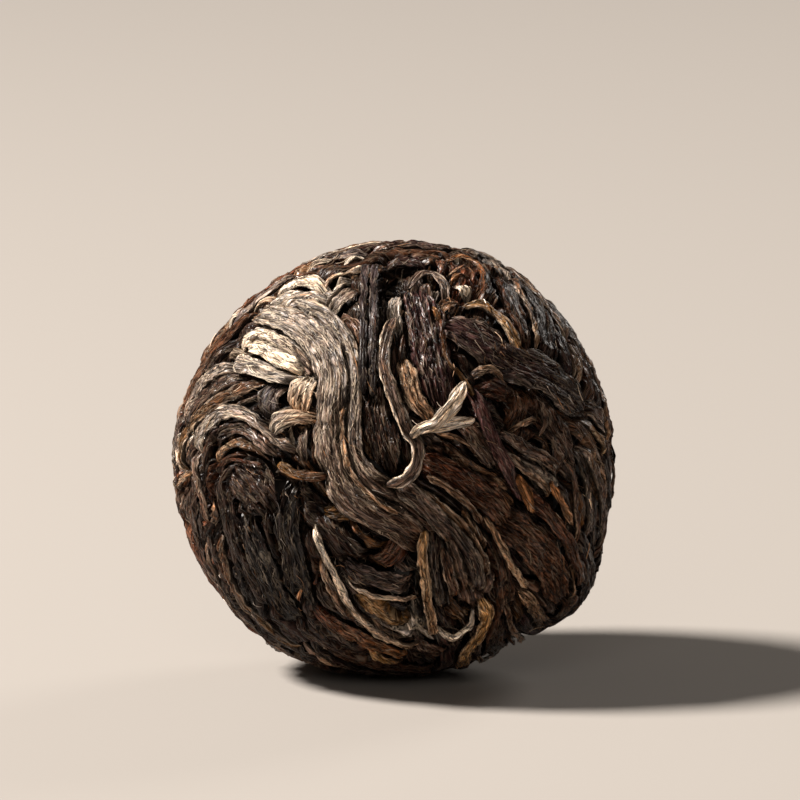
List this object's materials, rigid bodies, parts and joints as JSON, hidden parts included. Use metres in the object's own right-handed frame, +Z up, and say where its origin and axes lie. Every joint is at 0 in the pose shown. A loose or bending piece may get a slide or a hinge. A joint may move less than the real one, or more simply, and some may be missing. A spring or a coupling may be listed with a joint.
{
  "type": "pressed pu-erh tea ball",
  "caption": "Hand-pressed round ball of raw pu-erh tea: long rolled leaves, stems and downy buds pressed together, resting on a small flat spot.",
  "frame": {"origin": "middle of the flat spot under the ball, on the surface that it rests on", "axes": "+Z up, -Y towards the side with the broad curled leaf and the golden loop, +X to that side's right"},
  "size_m": [0.0269, 0.0266, 0.0261],
  "materials": {
    "tea_leaf": "matt dry leaf: dark brown and grey-brown, with tan strands, russet pieces and cream downy buds"
  },
  "bodies": {
    "root": {"tea_ball": "tea_leaf"}
  },
  "joints": []
}
